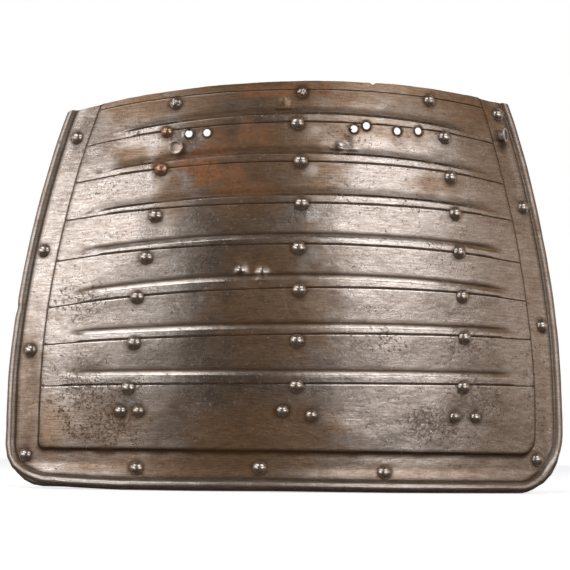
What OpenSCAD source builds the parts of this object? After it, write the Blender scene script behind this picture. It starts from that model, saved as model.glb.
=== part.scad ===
// A foot soldier's tasset: one curved steel plate for the thigh, worked to look like nine overlapping lames.
// X runs across the plate, the outer face looks along -Y, and Z is up. The plate stands on its lower edge,
// and the origin is at floor level in the middle of its length and depth. Widths are measured round the curve.

/* [Plate] */
// Thickness of the steel sheet
sheet_t = 1.2; // [0.8:0.1:1.6]
// Radius of the curve round the thigh at the floor
curve_r_floor = 330; // [280:5:400]
// Radius of the curve at the top edge
curve_r_top = 228; // [190:2:300]
// Half the raised panel's width at the top edge
panel_half_top = 120; // [116:1:130]
// Half the raised panel's width at its widest
panel_half_wide = 158; // [150:1:165]
// Height of the widest place above the panel's lower line
panel_wide_h = 36; // [25:1:60]
// Height of the top edge above the panel's lower line: left end, middle, right end
top_edge_h = [209.5, 220, 221]; // each [209:0.5:235]

/* [Border] */
// Width of the sunken border, from the panel's line to the middle of the rolled edge
border_w = 21; // [16:0.5:26]
// How much wider the right border swells, beaten outwards
border_swell = 3; // [0:0.5:5]
// Height of the swell's middle above the panel's lower line, and its length to either side
border_swell_span = [135.5, 95]; // each within 10 of these
// How far the panel stands above the border
panel_rise = 1; // [0.4:0.1:2]
// Width of the slope between the panel and the border
panel_slope_w = 1.6; // [1:0.1:3]
// Radius of the panel's lower left corner
corner_r_left = 3.5; // [2:0.5:12]
// Radius of the panel's lower right corner
corner_r_right = 11; // [4:0.5:14]
// Outer radius of the rolled edge
roll_r = 3.5; // [2.8:0.1:4.5]
// Room between the edge wire and the rolled sheet
wire_room = 0.2; // [0.1:0.05:0.5]

/* [False lames] */
// Heights of the engraved lines above the panel's lower line, from the top: left end, middle, right end
line_h = [
  [205.5, 214.5, 214.5], [183, 194.5, 192.5], [160.5, 170.5, 167.5], [137.5, 145.5, 145],
  [112.5, 121, 118.5], [84, 95, 94.5], [61.5, 67.5, 70.5], [36.5, 38.5, 41.5]
]; // each within 2 of these
// Heights of the embossed steps above the second and later lines: left end, middle, right end
lap_h = [
  [6, 8, 5.5], [6, 8, 6], [5, 8, 6], [5, 7, 7], [8, 8.5, 5.5], [7.5, 7, 6], [9, 8.5, 8]
]; // each within 1 of these
// Width of an engraved line
line_w = 1; // [0.6:0.1:1.6]
// Depth of an engraved line
line_depth = 0.5; // [0.2:0.05:0.7]
// How far the lower lame stands above the upper one at a step
step_rise = 1.3; // [0.5:0.1:2]
// Width of a step's slope
step_slope_w = 3.5; // [2:0.25:4]
// Plain strip between the end of a step and the side of the panel
step_end_room = 9; // [4:1:20]
// Length over which a step fades away at its ends
step_fade_l = 26; // [10:1:40]

/* [Rivets] */
// Radius of a column rivet's head
head_r = 4.4; // [3:0.1:5]
// Height of a column rivet's head
head_h = 3.3; // [2:0.1:4]
// Radius of a lower rivet's head
lower_head_r = 3.7; // [3:0.1:4.5]
// Height of a lower rivet's head
lower_head_h = 3; // [2:0.1:3.6]
// Radius of a border rivet's head
border_head_r = 4.3; // [3:0.1:4.4]
// Height of a border rivet's head
border_head_h = 3.2; // [2:0.1:4]
// Radius of every rivet's shank
shank_r = 1.8; // [1.4:0.1:2.2]
// Radius of the peened tail behind the plate
tail_r = 2.9; // [2.5:0.1:3.5]
// Height of the peened tail
tail_h = 0.9; // [0.5:0.1:1.5]
// Room between a shank and its hole
hole_room = 0.1; // [0.05:0.05:0.3]
// Room between the plate and the heads and tails
seat_room = 0.12; // [0.1:0.01:0.3]

/* [Rivet places] */
// Left column, from the top: distance from the middle, and drop below its line
left_places = [
  [-75.5, 4], [-80.5, 0.5], [-83.5, 0], [-86.5, 4], [-91.5, 4.5], [-96.5, 0.5], [-97.5, 2.5], [-100.5, 2]
]; // each within 2 of these
// Middle column
centre_places = [
  [0.5, 2], [-2, 1], [0, 0], [1, 0.5], [-0.5, 2.5], [0, 1.5], [-1, 4], [-1, 1.5]
]; // each within 2 of these
// Right column
right_places = [
  [82, 2], [92, 3], [96, 3], [99, 1.5], [101.5, -0.5], [103.5, 2], [104.5, 1], [103.5, 1.5]
]; // each within 2 of these
// Lower rivets, from the left: distance from the middle, and height above the panel's lower line
lower_places = [
  [-105, 21.5], [-94, 21.5], [-9, 22.5], [8, 20], [97.5, 21], [112, 21]
]; // each within 2 of these
// Left border's rivets, from the top: height above the panel's lower line, and distance out from the panel's side
left_border_places = [[186, 10.3], [117.5, 12], [58, 10.4]]; // each within 2 of these
// Bottom border's rivets, between its corner rivets: distance from the middle, and drop below the panel's line
bottom_border_places = [[-94.7, 11.7], [-21.8, 10.7], [52.5, 12.4]]; // each within 2 of these
// Corner rivets, left and right: how far they stand out past the panel's side, and drop below its lower line
corner_rivet_places = [[10, 4.8], [2.6, 3.9]]; // each within 1 of these
// Right border's rivets, from the bottom: height above the panel's lower line, and distance out from its side
right_border_places = [[78.5, 13.2], [151, 14], [207.5, 12.8]]; // each within 2 of these

/* [Studs] */
// Radius of a stud's flat head
stud_head_r = 4.4; // [3.5:0.1:5.5]
// Thickness of a stud's head
stud_head_t = 1.3; // [0.8:0.1:2]
// Depth of the dish in a stud's head
stud_dish = 0.4; // [0.2:0.05:0.6]
// Width of the rim round the dish
stud_rim_w = 1.1; // [0.6:0.1:1.8]
// Radius of a stud's neck
stud_neck_r = 2; // [1.6:0.1:2.4]
// Length of a stud's neck above the plate
stud_neck_l = 2.6; // [1.5:0.1:5]
// Left stud: distance from the middle, and height above the panel's lower line
left_stud_place = [-74, 178.5]; // each within 2 of these
// Right stud: height above the panel's lower line, and distance out from the panel's side
right_stud_place = [195.5, 10]; // each within 2 of these
// How far the right stud is bent outwards, in degrees
right_stud_bend = 25; // [0:1:30]

/* [Strap holes] */
// Radius of the six open holes
strap_hole_r = 2.3; // [1.8:0.1:2.8]
// Pairs of holes: distance of the pair's middle from the middle of the plate, height, spacing, tilt in degrees
hole_pairs = [
  [-61.5, 187.3, 11, 2], [36, 193, 8, 17], [66.5, 193, 14, 5]
]; // spacing [6:0.5:16]

/* [Hidden] */

steel = [0.38, 0.35, 0.32];
rivet_steel = [0.62, 0.59, 0.55];

// Columns of facets across the panel, steps of a corner's quarter turn, and the turn of the rolled edge
cols = 32;
corner_steps = 6;
roll_start = 150;
roll_end = -150;
roll_steps = 10;
wire_sides = 8;
round_fn = 48;

panel_base = roll_r + border_w;
corner_r_most = max(corner_r_left, corner_r_right);
corner_top = panel_base + corner_r_most;
wide_z = panel_base + panel_wide_h;
top_z = panel_base + top_edge_h[1];
wire_r = roll_r - sheet_t - wire_room;
lames = len(line_h);

function above_base(h) = [for (v = h) panel_base + v];
function shifted(h, d) = [for (v = h) v + d];
function line_z(i) = above_base(line_h[i]);
function step_z(i) = line_z(i + 1) + lap_h[i];
function share(v) = min(1, max(0, v));
function smooth(v) = share(v) * share(v) * (3 - 2 * share(v));
function unit(v) = v / norm(v);

// The curve round the thigh opens towards the bottom. A place is s round the curve, z up and n off the border.
function curve_r(z) = curve_r_floor + (curve_r_top - curve_r_floor) * z / top_z;
function turn(s, z) = s / curve_r(z) * 180 / PI;
function roll_reach(z) = let (edge_s = half_w(z) + border_w + swell(1, z))
  curve_r(z) - (curve_r(z) - sheet_t / 2) * cos(turn(edge_s, z)) + roll_r;
back_reach = max([for (h = concat([top_edge_h], line_h)) roll_reach(panel_base + h[2])]);
front_reach = panel_rise + step_rise + head_h;
front_y = (front_reach - back_reach) / 2;
function at(s, z, n) = let (r = curve_r(z), a = turn(s, z))
  [(r + n) * sin(a), front_y + r - (r + n) * cos(a), z];

// Sides of the panel: a parabola that runs straight down below the corners' tops, less the corners' rounding.
function half_w(z) = let (v = (max(z, corner_top) - wide_z) / (top_z - wide_z))
  panel_half_wide - (panel_half_wide - panel_half_top) * v * v;
function corner_r(side) = side < 0 ? corner_r_left : corner_r_right;
function corner_inset(d, r) = d >= r ? 0 : r - sqrt(max(0, r * r - (r - d) * (r - d)));
function side_s(side, z) = side * (half_w(z) - corner_inset(z - panel_base, corner_r(side)));
function across(u, z) = side_s(-1, z) * (1 - u) / 2 + side_s(1, z) * (1 + u) / 2;

// A row across the plate passes through three heights: its left end, middle and right end.
function row_z(h, u) = h[1] + (h[2] - h[0]) / 2 * u + ((h[0] + h[2]) / 2 - h[1]) * u * u;
function row_rise(h, u) = (h[2] - h[0]) / 2 + (h[0] + h[2] - 2 * h[1]) * u;

// Height of the outer face off the border: each lame is proud below its step and sinks towards the next one.
function lame_crest(lame, u) = row_z(step_z(lame - 1), u) - step_slope_w;
function lame_end(lame, u) = lame < lames - 1 ? row_z(step_z(lame), u) : panel_base;
function step_fade(s, z) = smooth((half_w(z) - step_end_room - abs(s)) / step_fade_l);
function lame_share(lame, s, z) = let (u = s / half_w(z), low = lame_end(lame, u))
  lame == 0 ? 0 : share((z - low) / (lame_crest(lame, u) - low));
function relief(lame, s, z) = panel_rise + step_rise * step_fade(s, z) * lame_share(lame, s, z);

// Rows of the panel, from the top: [three heights, lame, depth of the line, station of the border beside it].
function corner_row(i) = let (z = panel_base + corner_r_most * (1 - sin(90 * i / corner_steps)))
  [[z, z, z], lames - 1, 0, undef];
function line_rows(i) = [
  [shifted(line_z(i), line_w / 2), i, 0, 1 + 2 * i],
  [line_z(i), i, line_depth, 1 + 2 * i],
  [shifted(line_z(i), -line_w / 2), i, 0, 1 + 2 * i]
];
function step_rows(i) = [
  [step_z(i), i, 0, 2 + 2 * i],
  [shifted(step_z(i), -step_slope_w), i + 1, 0, 2 + 2 * i]
];
top_row = [above_base(top_edge_h), 0, 0, 0];
corner_rows = [for (i = [0:corner_steps]) corner_row(i)];
front_rows = concat(
  [top_row],
  [for (i = [0:lames - 1]) each (i < lames - 1 ? concat(line_rows(i), step_rows(i)) : line_rows(i))],
  corner_rows
);
back_rows = concat([top_row], [for (i = [0:lames - 2]) each step_rows(i)], corner_rows);

function panel_point(row, u, drop) =
  let (z = row_z(row[0], u), s = across(u, z)) at(s, z, relief(row[1], s, z) - row[2] - drop);
function panel_points(rows, drop) =
  [for (row = rows) for (j = [0:cols]) panel_point(row, 2 * j / cols - 1, drop)];

// Stations of the border, from the top left round to the top right. Each gives [s, z] at o out from the line.
side_heights = concat(
  [top_row[0]],
  [for (i = [0:lames - 1]) each (i < lames - 1 ? [line_z(i), step_z(i)] : [line_z(i)])]
);
edge_stations = len(side_heights) + corner_steps + 1;
stations = 2 * edge_stations + cols - 1;
function side_lean(z) = (half_w(z + 1) - half_w(z - 1)) / 2;
function swell(side, z) =
  side < 0 ? 0 : border_swell * smooth(1 - abs(z - panel_base - border_swell_span[0]) / border_swell_span[1]);
function spread(side, z, o) = o + swell(side, z) * share((o - panel_slope_w) / (border_w - roll_r - panel_slope_w));
function side_place(side, h, o) =
  let (z = row_z(h, side), out = spread(side, z, o) * sqrt(1 + side_lean(z) * side_lean(z)))
  [side_s(side, z) + side * out, z + side * row_rise(h, side) / half_w(z) * out];
function corner_place(side, a, o) = let (r = corner_r(side))
  [side * (half_w(corner_top) - r + (r + o) * cos(a)), panel_base + r - (r + o) * sin(a)];
function edge_place(side, k, o) = k < len(side_heights)
  ? side_place(side, side_heights[k], o)
  : corner_place(side, 90 * (k - len(side_heights)) / corner_steps, o);
function bottom_place(j, o) = [across(2 * j / cols - 1, panel_base), panel_base - o];
function border_place(k, o) =
  k < edge_stations ? edge_place(-1, k, o)
  : k < edge_stations + cols - 1 ? bottom_place(k - edge_stations + 1, o)
  : edge_place(1, stations - 1 - k, o);
function border_point(k, o, n) = let (p = border_place(k, o)) at(p[0], p[1], n);

// Section of the border and its roll, as [distance out, height off the border's face].
function roll_place(r, a) = [border_w + r * cos(a), r * sin(a) - sheet_t / 2];
function roll_arc(r) = [
  for (i = [0:roll_steps]) roll_place(r, roll_start + (roll_end - roll_start) * i / roll_steps)
];
front_section = concat(
  [[panel_slope_w, 0], [(panel_slope_w + border_w - roll_r) / 2, 0], [border_w - roll_r - sheet_t / 2, 0]],
  roll_arc(roll_r)
);
back_section = concat(
  [
    [panel_slope_w, -sheet_t],
    [(panel_slope_w + border_w - roll_r) / 2, -sheet_t],
    [border_w - roll_r + sheet_t, -sheet_t]
  ],
  roll_arc(roll_r - sheet_t)
);
function ring_points(section) = [for (p = section) for (k = [0:stations - 1]) border_point(k, p[0], p[1])];

// Order of the sheet's points: front panel, back panel, front border rings, back border rings.
front_start = 0;
back_start = len(front_rows) * (cols + 1);
front_rings = back_start + len(back_rows) * (cols + 1);
back_rings = front_rings + len(front_section) * stations;
rings = len(front_section);
sheet_points = concat(
  panel_points(front_rows, 0),
  panel_points(back_rows, sheet_t),
  ring_points(front_section),
  ring_points(back_section)
);

function panel_id(start, i, j) = start + i * (cols + 1) + j;
function ring_id(start, m, k) = start + m * stations + k;
function quad(a, b, c, d) = [[a, b, c], [a, c, d]];
function turned(faces) = [for (f = faces) [f[2], f[1], f[0]]];

function grid_faces(start, rows) = [
  for (i = [0:len(rows) - 2]) for (j = [0:cols - 1]) each quad(
    panel_id(start, i, j), panel_id(start, i, j + 1), panel_id(start, i + 1, j + 1), panel_id(start, i + 1, j)
  )
];

// The panel's outline, left side down, bottom, right side up, with the border station that each point joins.
function corner_station(row, side) =
  let (r = corner_r(side), d = row[0][1] - panel_base)
  len(side_heights) + round(asin(share((r - d) / r)) / 90 * corner_steps);
function row_station(row, side) = is_undef(row[3]) ? corner_station(row, side) : row[3];
function outline(start, rows) = concat(
  [for (i = [0:len(rows) - 1]) [panel_id(start, i, 0), row_station(rows[i], -1)]],
  [for (j = [1:cols - 1]) [panel_id(start, len(rows) - 1, j), edge_stations - 1 + j]],
  [for (i = [len(rows) - 1:-1:0]) [panel_id(start, i, cols), stations - 1 - row_station(rows[i], 1)]]
);
function join_faces(line, ring) = [
  for (e = [0:len(line) - 2]) let (a = line[e], b = line[e + 1]) each concat(
    [[a[0], b[0], ring_id(ring, 0, a[1])]],
    [for (k = [a[1]:1:b[1] - 1]) [b[0], ring_id(ring, 0, k + 1), ring_id(ring, 0, k)]]
  )
];
function band_faces(start) = [
  for (m = [0:rings - 2]) for (k = [0:stations - 2]) each quad(
    ring_id(start, m, k), ring_id(start, m, k + 1), ring_id(start, m + 1, k + 1), ring_id(start, m + 1, k)
  )
];
curl_end_faces = [
  for (k = [0:stations - 2]) each quad(
    ring_id(front_rings, rings - 1, k), ring_id(front_rings, rings - 1, k + 1),
    ring_id(back_rings, rings - 1, k + 1), ring_id(back_rings, rings - 1, k)
  )
];
top_edge_faces = [
  for (j = [0:cols - 1]) each quad(
    panel_id(front_start, 0, j + 1), panel_id(front_start, 0, j),
    panel_id(back_start, 0, j), panel_id(back_start, 0, j + 1)
  )
];
function end_line(panel_start, ring_start, j, k) = concat(
  [panel_id(panel_start, 0, j)],
  [for (m = [0:rings - 1]) ring_id(ring_start, m, k)]
);
function end_faces(j, k) =
  let (f = end_line(front_start, front_rings, j, k), b = end_line(back_start, back_rings, j, k))
  [for (m = [0:rings - 1]) each quad(f[m], f[m + 1], b[m + 1], b[m])];

sheet_faces = concat(
  grid_faces(front_start, front_rows),
  join_faces(outline(front_start, front_rows), front_rings),
  band_faces(front_rings),
  turned(grid_faces(back_start, back_rows)),
  turned(join_faces(outline(back_start, back_rows), back_rings)),
  turned(band_faces(back_rings)),
  curl_end_faces,
  top_edge_faces,
  end_faces(0, 0),
  turned(end_faces(cols, stations - 1))
);

// Seats of rivets and holes: a place on the outer face, and the way that the face looks there.
function panel_face(lame, s, z) = at(s, z, relief(lame, s, z));
function face_normal(lame, s, z) = unit(cross(
  panel_face(lame, s + 1, z) - panel_face(lame, s - 1, z),
  panel_face(lame, s, z + 1) - panel_face(lame, s, z - 1)
));
function panel_seat(lame, s, z) = [panel_face(lame, s, z), face_normal(lame, s, z)];
function border_seat(place) = let (s = place[0], z = place[1])
  [at(s, z, 0), unit(cross(at(s + 1, z, 0) - at(s - 1, z, 0), at(s, z + 1, 0) - at(s, z - 1, 0)))];
function column_seat(places, i) =
  let (s = places[i][0], z0 = row_z(line_z(i), s / half_w(line_z(i)[1])), z = z0 - places[i][1])
  panel_seat(i, s, z);
function column_seats(places) = [for (i = [0:len(places) - 1]) column_seat(places, i)];

left_seats = column_seats(left_places);
centre_seats = column_seats(centre_places);
right_seats = column_seats(right_places);
lower_seats = [for (p = lower_places) panel_seat(lames - 1, p[0], panel_base + p[1])];

function side_line_place(side, h, o) = let (z = panel_base + h, lean = side_lean(z), l = sqrt(1 + lean * lean))
  [side * (half_w(z) + o / l), z - o * lean / l];
function corner_rivet_place(side, p) = [side * (half_w(panel_base) + p[0]), panel_base - p[1]];
border_places = concat(
  [for (p = left_border_places) side_line_place(-1, p[0], p[1])],
  [corner_rivet_place(-1, corner_rivet_places[0])],
  [for (p = bottom_border_places) [p[0], panel_base - p[1]]],
  [corner_rivet_place(1, corner_rivet_places[1])],
  [for (p = right_border_places) side_line_place(1, p[0], p[1])]
);
border_seats = [for (p = border_places) border_seat(p)];

left_stud_seat = panel_seat(1, left_stud_place[0], panel_base + left_stud_place[1]);
right_stud_seat = border_seat(side_line_place(1, right_stud_place[0], right_stud_place[1]));

// A pair's two holes are drilled side by side, square to the plate at the middle of the pair.
function pair_seat(pair) = panel_seat(1, pair[0], panel_base + pair[1]);

module on_face(seat) {
  n = seat[1];
  translate(seat[0]) rotate([0, acos(n[2]), atan2(n[1], n[0])]) children();
}

module shank_hole(seat) {
  depth = 2 * sheet_t + step_rise;
  on_face(seat) translate([0, 0, -depth]) cylinder(r = shank_r + hole_room, h = 2 * depth, $fn = round_fn);
}

// Local X of a seat points down the plate and local Y to the right, so the pair lies along local Y.
module strap_holes(pair) {
  depth = 2 * sheet_t + step_rise;
  on_face(pair_seat(pair)) rotate([0, 0, pair[3]])
    for (side = [-1, 1])
      translate([0, side * pair[2] / 2, -depth]) cylinder(r = strap_hole_r, h = 2 * depth, $fn = round_fn);
}

module tasset_plate() {
  color(steel) difference() {
    polyhedron(points = sheet_points, faces = sheet_faces, convexity = 10);
    for (seat = concat(left_seats, centre_seats, right_seats, lower_seats, border_seats)) shank_hole(seat);
    shank_hole(left_stud_seat);
    shank_hole(right_stud_seat);
    for (pair = hole_pairs) strap_holes(pair);
  }
}

wire_points = [
  for (k = [0:stations - 1]) for (i = [0:wire_sides - 1])
    let (p = roll_place(wire_r, 360 * i / wire_sides)) border_point(k, p[0], p[1])
];
wire_faces = concat(
  [
    for (k = [0:stations - 2]) for (i = [0:wire_sides - 1])
      let (a = k * wire_sides, j = (i + 1) % wire_sides)
      each quad(a + i, a + j, a + wire_sides + j, a + wire_sides + i)
  ],
  [[for (i = [wire_sides - 1:-1:0]) i]],
  [[for (i = [0:wire_sides - 1]) (stations - 1) * wire_sides + i]]
);

module edge_wire() {
  color(rivet_steel) polyhedron(points = wire_points, faces = wire_faces, convexity = 10);
}

// A dome of the given radius and height, as the round part of a profile that starts at the axis.
module dome_profile(r, h) {
  ball_r = (r * r + h * h) / (2 * h);
  intersection() {
    translate([0, h - ball_r]) circle(r = ball_r, $fn = 2 * round_fn);
    square([r, h]);
  }
}

module shank_profile() {
  translate([0, -sheet_t - seat_room]) square([shank_r, sheet_t + 2 * seat_room]);
  translate([0, -sheet_t - seat_room]) mirror([0, 1]) dome_profile(tail_r, tail_h);
}

module rivet(seat, r, h) {
  color(rivet_steel) on_face(seat) rotate_extrude($fn = round_fn) {
    translate([0, seat_room]) dome_profile(r, h);
    shank_profile();
  }
}

// A stud's neck stands in a collar as large as the tail, and bends above it.
module stud_top_profile() {
  head_low = stud_neck_l - tail_h;
  difference() {
    union() {
      translate([0, -tail_h]) square([stud_neck_r, stud_neck_l]);
      translate([0, head_low]) square([stud_head_r, stud_head_t]);
    }
    translate([0, head_low + stud_head_t - stud_dish]) square([stud_head_r - stud_rim_w, stud_head_t]);
  }
}

module stud(seat, bend) {
  color(rivet_steel) on_face(seat) {
    rotate_extrude($fn = round_fn) {
      shank_profile();
      translate([0, seat_room]) square([tail_r, tail_h]);
    }
    translate([0, 0, seat_room + tail_h]) rotate([-bend, 0, 0]) rotate_extrude($fn = round_fn) stud_top_profile();
  }
}

tasset_plate();
edge_wire();
for (i = [1:8]) rivet(left_seats[i - 1], head_r, head_h);
for (i = [1:8]) rivet(centre_seats[i - 1], head_r, head_h);
for (i = [1:8]) rivet(right_seats[i - 1], head_r, head_h);
for (i = [1:6]) rivet(lower_seats[i - 1], lower_head_r, lower_head_h);
for (i = [1:11]) rivet(border_seats[i - 1], border_head_r, border_head_h);
stud(left_stud_seat, 0);  // left_stud
stud(right_stud_seat, right_stud_bend);  // right_stud
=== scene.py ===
"""Looks of a foot soldier's tasset: one steel thigh plate embossed as nine false lames, with domed rivets,
two studs, six open strap holes and an edge turned over a wire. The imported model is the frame, and every piece
is made round it.

Lengths are in millimetres, as the plate was laid out, up to the point where a mesh is made, in metres.
A place on the plate is (s, z, n): s round the curve from the middle, z up from the floor, n off the border.
"""

import math

import bmesh
import bpy
from mathutils import Matrix, Vector, noise


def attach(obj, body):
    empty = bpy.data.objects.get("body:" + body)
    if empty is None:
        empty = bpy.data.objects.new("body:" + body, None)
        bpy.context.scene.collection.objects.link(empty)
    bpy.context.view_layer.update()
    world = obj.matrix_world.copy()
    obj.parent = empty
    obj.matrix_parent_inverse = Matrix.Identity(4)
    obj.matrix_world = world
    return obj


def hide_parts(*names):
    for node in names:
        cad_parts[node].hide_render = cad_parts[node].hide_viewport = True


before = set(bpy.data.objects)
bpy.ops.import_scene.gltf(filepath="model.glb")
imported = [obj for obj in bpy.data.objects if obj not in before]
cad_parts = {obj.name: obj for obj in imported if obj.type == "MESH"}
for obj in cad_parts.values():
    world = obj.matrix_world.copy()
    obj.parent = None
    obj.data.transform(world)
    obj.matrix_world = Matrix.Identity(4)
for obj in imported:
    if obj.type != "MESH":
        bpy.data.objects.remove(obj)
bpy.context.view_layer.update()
MM = 0.001
# Scale of the fine noise over points in metres: its blots are about a millimetre wide
FINE_NOISE = 900

# Layout of the plate, as in the construction: thickness, radii of the curve, half widths, top edge, border,
# swell of the right side, corners, roll, steps and lines
SHEET = 1.2
CURVE_FLOOR, CURVE_TOP = 330, 228
HALF_TOP, HALF_WIDE, WIDE_UP = 120, 158, 36
TOP_EDGE = (209.5, 220, 221)
BORDER, RISE, SLOPE = 21, 1, 1.6
SWELL, SWELL_UP, SWELL_LONG = 3, 135.5, 95
# How much wider than laid out the border was really beaten: at heights above the panel's lower line, at
# distances from the middle along the bottom, and at degrees round the corners from the side
SIDE_EXTRA = {
    -1: ((3.5, 0.1), (30, 0.2), (45, 0.5), (65, 0.3), (200, 0.2), (221, -0.4)),
    1: ((11, 0), (25, 0.1), (40, 0.25), (60, 0.85), (75, 1.45), (100, 1.7), (185, 1.8), (207, 1), (221, 0.1)),
}
BOTTOM_EXTRA = ((-154, -2), (-135, -1), (-105, 0), (-60, 0), (-15, -0.4), (30, -0.2), (60, 0), (147, 0))
CORNER_EXTRA = {
    -1: ((0, 0.1), (30, 0), (50, -1.8), (70, -2.9), (90, -2)),
    1: ((0, 0.1), (20, -1.7), (45, -2.4), (70, -1.6), (90, 0)),
}
CORNER = {-1: 3.5, 1: 11}
ROLL = 3.5
STEP_RISE, STEP_SLOPE, STEP_ROOM, STEP_FADE = 1.3, 3.5, 9, 26
LINE_DEEP, LINE_HALF = 0.5, 0.55
HEAD_UP = 3.3
BASE = ROLL + BORDER
TOP = BASE + TOP_EDGE[1]
WIDE_Z = BASE + WIDE_UP
CORNER_TOP = BASE + max(CORNER.values())

# Engraved lines above the panel's lower line, and steps above the second and later lines: left, middle, right
LINES = (
    (205.5, 214.5, 214.5), (183, 194.5, 192.5), (160.5, 170.5, 167.5), (137.5, 145.5, 145),
    (112.5, 121, 118.5), (84, 95, 94.5), (61.5, 67.5, 70.5), (36.5, 38.5, 41.5),
)
LAPS = ((6, 8, 5.5), (6, 8, 6), (5, 8, 6), (5, 7, 7), (8, 8.5, 5.5), (7.5, 7, 6), (9, 8.5, 8))

# Rivets of the columns, from the top: distance from the middle, and drop below their line
COLUMNS = {
    "left": (
        (-75.5, 4), (-80.5, 0.5), (-83.5, 0), (-86.5, 4), (-91.5, 4.5), (-96.5, 0.5), (-97.5, 2.5),
        (-100.5, 2),
    ),
    "centre": ((0.5, 2), (-2, 1), (0, 0), (1, 0.5), (-0.5, 2.5), (0, 1.5), (-1, 4), (-1, 1.5)),
    "right": ((82, 2), (92, 3), (96, 3), (99, 1.5), (101.5, -0.5), (103.5, 2), (104.5, 1), (103.5, 1.5)),
}
LOWER = ((-105, 21.5), (-94, 21.5), (-9, 22.5), (8, 20), (97.5, 21), (112, 21))
# Border rivets. Sides: height above the panel's lower line, and distance out. Bottom: distance from the
# middle, and drop below that line. Corners: distance out past the panel's side, and drop
LEFT_BORDER = ((186, 10.3), (117.5, 12), (58, 10.4))
BOTTOM_BORDER = ((-94.7, 11.7), (-21.8, 10.7), (52.5, 12.4))
CORNER_RIVETS = ((10, 4.8), (2.6, 3.9))
RIGHT_BORDER = ((78.5, 13.2), (151, 14), (207.5, 12.8))
LEFT_STUD, RIGHT_STUD, RIGHT_STUD_BEND = (-74, 178.5), (195.5, 10), 25
STRAP_HOLE = 2.3
# Pairs of strap holes: middle round the curve, height above the panel's lower line, spacing, tilt in degrees
HOLE_PAIRS = ((-61.5, 187.3, 11, 2), (36, 193, 8, 17), (66.5, 193, 14, 5))


def share(v):
    return min(1, max(0, v))


def smooth(v):
    v = share(v)
    return v * v * (3 - 2 * v)


def curve_r(z):
    return CURVE_FLOOR + (CURVE_TOP - CURVE_FLOOR) * z / TOP


def half_w(z):
    v = (max(z, CORNER_TOP) - WIDE_Z) / (TOP - WIDE_Z)
    return HALF_WIDE - (HALF_WIDE - HALF_TOP) * v * v


def side_s(side, z):
    d, r = z - BASE, CORNER[side]
    inset = 0 if d >= r else r - math.sqrt(max(0, r * r - (r - d) ** 2))
    return side * (half_w(z) - inset)


def across(u, z):
    return side_s(-1, z) * (1 - u) / 2 + side_s(1, z) * (1 + u) / 2


def row_z(h, u):
    return h[1] + (h[2] - h[0]) / 2 * u + ((h[0] + h[2]) / 2 - h[1]) * u * u


def row_rise(h, u):
    return (h[2] - h[0]) / 2 + (h[0] + h[2] - 2 * h[1]) * u


def raised(h, d):
    return tuple(v + d for v in h)


def line_z(i):
    return raised(LINES[i], BASE)


def step_z(i):
    return tuple(a + b for a, b in zip(line_z(i + 1), LAPS[i]))


def table(rows, v):
    """Reads a table of (place, value), straight between its rows."""
    if v <= rows[0][0]:
        return rows[0][1]
    for (a, low), (b, high) in zip(rows, rows[1:]):
        if v <= b:
            return low + (high - low) * (v - a) / (b - a)
    return rows[-1][1]


def side_extra(side, z):
    return table(SIDE_EXTRA[side], z - BASE)


def roll_reach(z):
    """How far back the right edge reaches, as the border was laid out with its swell."""
    r = curve_r(z)
    swell = SWELL * smooth(1 - abs(z - BASE - SWELL_UP) / SWELL_LONG)
    return r - (r - SHEET / 2) * math.cos((half_w(z) + BORDER + swell) / r) + ROLL


BACK_REACH = max(roll_reach(BASE + h[2]) for h in (TOP_EDGE, *LINES))
FRONT_Y = (RISE + STEP_RISE + HEAD_UP - BACK_REACH) / 2


def at(s, z, n):
    """The point of a place on the plate, in metres."""
    r = curve_r(z)
    a = s / r
    return Vector(((r + n) * math.sin(a), FRONT_Y + r - (r + n) * math.cos(a), z)) * MM


def step_fade(s, z):
    return smooth((half_w(z) - STEP_ROOM - abs(s)) / STEP_FADE)


def lame_share(lame, s, z):
    """How proud a lame stands at a place: most under its own step, nothing at the next one."""
    if lame == 0:
        return 0
    u = s / half_w(z)
    crest = row_z(step_z(lame - 1), u) - STEP_SLOPE
    low = row_z(step_z(lame), u) if lame < len(LINES) - 1 else BASE
    return share((z - low) / (crest - low))


def relief(lame, s, z):
    return RISE + STEP_RISE * step_fade(s, z) * lame_share(lame, s, z)


# Wear of the old plate

# Dents, as (s, z, radius, height): those struck from behind are raised, and have a height above nothing
DENTS = (
    (-28, 129, 13, -1.1), (-34.4, 129.4, 2.9, 1.5), (-22, 128.4, 3.3, 1.5), (-10.4, 231.3, 2.6, 0.8),
    (24, 207, 8, -0.4), (24, 204.5, 2.8, 1.0), (28.5, 208, 3.4, -0.5), (43, 211, 8, -0.5),
    (66, 210, 9, -0.35), (-61.5, 211, 9, -0.5), (-88, 133, 8, -0.25), (-83, 157, 8, -0.25),
    (-100, 44, 13, -0.6), (105, 44, 13, -0.5), (2, 42, 11, -0.4),
)
# A dent of a smaller radius than this needs finer faces
SMALL_DENT = 5
# How deep the hammer sank the sheet: on the whole, by broad hollows, and by single blows
SUNK, HOLLOWS, BLOWS = -0.75, 0.45, 0.16
# Width over which the beating and the dents fade out towards the rolled edge
WEAR_FADE = 6


def wander(s, z, wide, high, seed):
    """Smooth noise over the plate, in blots about this wide and high."""
    return noise.noise(Vector((s / wide, z / high, seed)))


def beaten(s, z):
    """How far the hammer sank the sheet at a place: never proud of the laid-out face."""
    return SUNK + HOLLOWS * wander(s, z, 44, 30, 3.7) + BLOWS * wander(s, z, 15, 11, 8.1)


def dented(s, z):
    return sum(h * math.exp(-((s - ds) ** 2 + (z - dz) ** 2) / (r * r)) for ds, dz, r, h in DENTS)


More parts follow.
